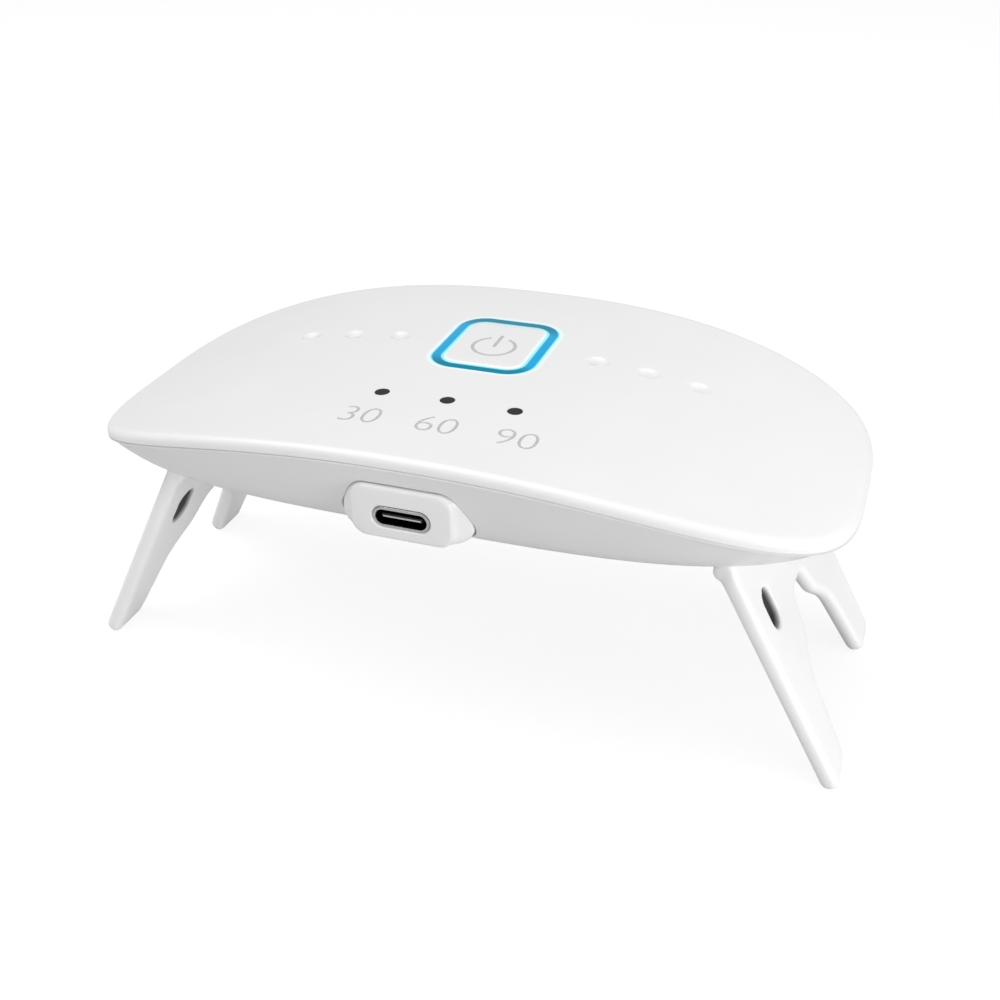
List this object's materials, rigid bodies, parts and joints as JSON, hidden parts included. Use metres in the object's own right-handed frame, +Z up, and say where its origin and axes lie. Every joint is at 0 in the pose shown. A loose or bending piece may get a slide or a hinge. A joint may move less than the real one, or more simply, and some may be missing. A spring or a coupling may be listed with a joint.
{
  "type": "nail lamp",
  "caption": "Arched pocket nail lamp on folding leg frames, with a lit standby button, timer lamps and a USB-C socket in a front collar.",
  "frame": {"origin": "on the table, under the middle of the housing, with the leg frames open", "axes": "+X along the housing to the right leg frame, +Y to the back (the button's side), +Z up; the socket faces -Y"},
  "size_m": [0.135, 0.07, 0.0541],
  "materials": {
    "cover_white": "satin gloss",
    "base_white": "satin gloss",
    "leg_white": "satin gloss",
    "collar_white": "satin gloss",
    "button_white": "gloss",
    "light_guide": "lit, translucent",
    "lens_smoke": "gloss",
    "switch_grey": "moulded",
    "switch_black": "moulded",
    "socket_steel": "bright nickel",
    "tongue_black": "moulded",
    "board_green": "solder mask",
    "board_white": "solder mask",
    "chip_black": "moulded",
    "capacitor_tan": "ceramic",
    "led_ceramic": "ceramic",
    "dome_clear": "clear",
    "reflector_silver": "metallised",
    "screw_steel": "zinc plated",
    "pin_steel": "drawn"
  },
  "bodies": {
    "housing": {"top_cover": "cover_white", "base_shell": "base_white", "light_ring": "light_guide", "tact_switch": "switch_black", "timer_lens_1": "lens_smoke", "timer_lens_2": "lens_smoke", "timer_lens_3": "lens_smoke", "port_surround": "collar_white", "usb_shell": "socket_steel", "usb_tongue": "tongue_black", "control_board": "board_green", "driver_chip": "chip_black", "inductor": "chip_black", "capacitors": "capacitor_tan", "ring_leds": "led_ceramic", "timer_leds": "led_ceramic", "board_link": "chip_black", "led_board": "board_white", "uv_leds": "led_ceramic", "uv_domes": "dome_clear", "reflector_tray": "reflector_silver", "board_screws": "screw_steel", "case_screws": "screw_steel", "left_hinge_pin": "pin_steel", "right_hinge_pin": "pin_steel"},
    "power_button": {"button_cap": "button_white", "switch_plunger": "switch_grey"},
    "left_leg_frame": {"left_leg": "leg_white"},
    "right_leg_frame": {"right_leg": "leg_white"}
  },
  "joints": [
    {"name": "power_button_press", "type": "slide", "parent": "housing", "child": "power_button", "axis": [0, 0, -1], "range_m": [0, 0.0004], "stiffness_N_per_m": 2000, "springref_m": -0.0001},
    {"name": "left_leg_fold", "type": "hinge", "parent": "housing", "child": "left_leg_frame", "pos_m": [-0.0466, -0.0015, 0.037], "axis": [0, -1, 0], "range_deg": [0, 118]},
    {"name": "right_leg_fold", "type": "hinge", "parent": "housing", "child": "right_leg_frame", "pos_m": [0.0466, -0.0015, 0.037], "axis": [0, 1, 0], "range_deg": [0, 118]}
  ]
}
